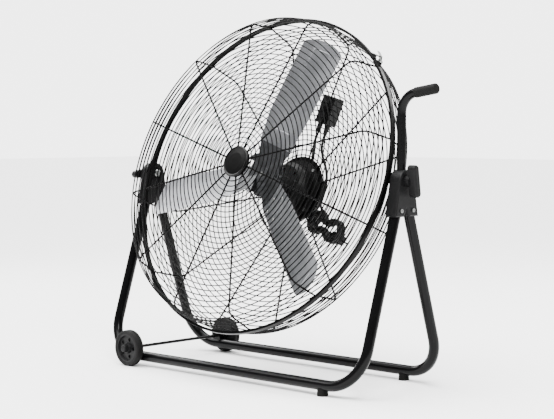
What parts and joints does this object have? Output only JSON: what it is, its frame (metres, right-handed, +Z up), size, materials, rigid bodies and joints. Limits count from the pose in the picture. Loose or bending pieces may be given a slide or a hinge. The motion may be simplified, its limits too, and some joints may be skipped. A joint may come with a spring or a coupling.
{
  "type": "rolling floor fan",
  "caption": "High-velocity floor fan: round wire cage and bladed impeller tilting in a tubular A-frame with wheels, feet and a lifting handle.",
  "frame": {"origin": "on the floor, below the middle of the tilt axis", "axes": "+Z up, the fan blows towards -Y, +X towards the side with the lifting handle; the wheels are at the -X end"},
  "size_m": [0.9881, 0.426, 0.8718],
  "materials": {
    "stand_paint": "semi-gloss black powder coat",
    "cage_paint": "black coated wire",
    "hoop_paint": "satin black",
    "moulded_black": "fine moulded texture",
    "badge_gloss": "gloss",
    "grip_rubber": "matt",
    "wheel_hub_plastic": "moulded",
    "wheel_tyre": "matt",
    "zinc_steel": "zinc plated",
    "blade_metal": "rolled sheet",
    "hub_metal": "pressed steel",
    "motor_casting": "satin grey-black",
    "copper_wire": "enamelled wire"
  },
  "bodies": {
    "stand": {"front_frame_tube": "stand_paint", "rear_frame_tube": "stand_paint", "left_pivot_block": "moulded_black", "right_pivot_block": "moulded_black", "handle_tube": "stand_paint", "handle_grip": "grip_rubber", "rubber_feet": "grip_rubber", "stand_screws": "zinc_steel", "axle_lugs": "stand_paint", "wheel_axle": "zinc_steel", "axle_caps": "moulded_black", "pivot_washers": "moulded_black"},
    "front_wheel": {"front_wheel_hub": "wheel_hub_plastic", "front_wheel_tyre": "wheel_tyre"},
    "rear_wheel": {"rear_wheel_hub": "wheel_hub_plastic", "rear_wheel_tyre": "wheel_tyre"},
    "head": {"clamp_hoop": "hoop_paint", "latch_seats": "hoop_paint", "pivot_straps": "hoop_paint", "tilt_bolts": "zinc_steel", "front_guard_ribs": "cage_paint", "front_guard_face_rings": "cage_paint", "front_guard_side_rings": "cage_paint", "rear_guard_ribs": "cage_paint", "rear_guard_face_rings": "cage_paint", "rear_guard_side_rings": "cage_paint", "front_badge": "badge_gloss", "badge_back_plate": "moulded_black", "motor_mount_plate": "cage_paint", "motor_rear_bell": "motor_casting", "motor_front_bell": "motor_casting", "motor_bolts": "zinc_steel", "motor_bearings": "zinc_steel", "stator_core": "zinc_steel", "stator_windings": "copper_wire", "switch_box": "moulded_black", "switch_box_lid": "moulded_black", "box_clamp": "hoop_paint", "rotary_switch": "moulded_black", "run_capacitor": "moulded_black", "cord_reliefs": "grip_rubber", "motor_lead": "grip_rubber", "power_cord": "grip_rubber", "cord_hank": "grip_rubber", "hank_tie": "moulded_black", "power_plug": "moulded_black"},
    "impeller": {"impeller_hub": "hub_metal", "blade_1": "blade_metal", "blade_2": "blade_metal", "blade_3": "blade_metal", "blade_rivets": "zinc_steel", "rotor": "zinc_steel", "motor_shaft": "zinc_steel"},
    "left_knob": {"left_tilt_knob": "moulded_black"},
    "right_knob": {"right_tilt_knob": "moulded_black"},
    "speed_knob": {"speed_knob": "moulded_black"},
    "latch_lever": {"latch_lever": "zinc_steel"},
    "latch_loop": {"latch_loop": "zinc_steel"}
  },
  "joints": [
    {"name": "front_wheel_spin", "type": "hinge", "parent": "stand", "child": "front_wheel", "pos_m": [-0.322, -0.1705, 0.0455], "axis": [0, 1, 0], "continuous": true},
    {"name": "rear_wheel_spin", "type": "hinge", "parent": "stand", "child": "rear_wheel", "pos_m": [-0.322, 0.1705, 0.0455], "axis": [0, 1, 0], "continuous": true},
    {"name": "head_tilt", "type": "hinge", "parent": "stand", "child": "head", "pos_m": [0, 0, 0.482], "axis": [1, 0, 0], "range_deg": [-70, 110]},
    {"name": "impeller_spin", "type": "hinge", "parent": "head", "child": "impeller", "pos_m": [0, 0, 0.482], "axis": [0, -0.9403, 0.3404], "continuous": true},
    {"name": "left_knob_turn", "type": "hinge", "parent": "head", "child": "left_knob", "pos_m": [-0.45, 0, 0.482], "axis": [-1, 0, 0], "continuous": true},
    {"name": "right_knob_turn", "type": "hinge", "parent": "head", "child": "right_knob", "pos_m": [0.45, 0, 0.482], "axis": [1, 0, 0], "continuous": true},
    {"name": "speed_knob_turn", "type": "hinge", "parent": "head", "child": "speed_knob", "pos_m": [0.05235, 0.19182, 0.64909], "axis": [0.0343, 0.9756, -0.217], "range_deg": [0, 180]},
    {"name": "latch_lever_swing", "type": "hinge", "parent": "head", "child": "latch_lever", "pos_m": [0.29666, 0.07151, 0.75592], "axis": [0, 0.9403, -0.3404], "range_deg": [0, 100]},
    {"name": "latch_loop_swing", "type": "hinge", "parent": "latch_lever", "child": "latch_loop", "pos_m": [0.29436, 0.07557, 0.76714], "axis": [0, 0.9403, -0.3404], "range_deg": [0, 40]}
  ]
}
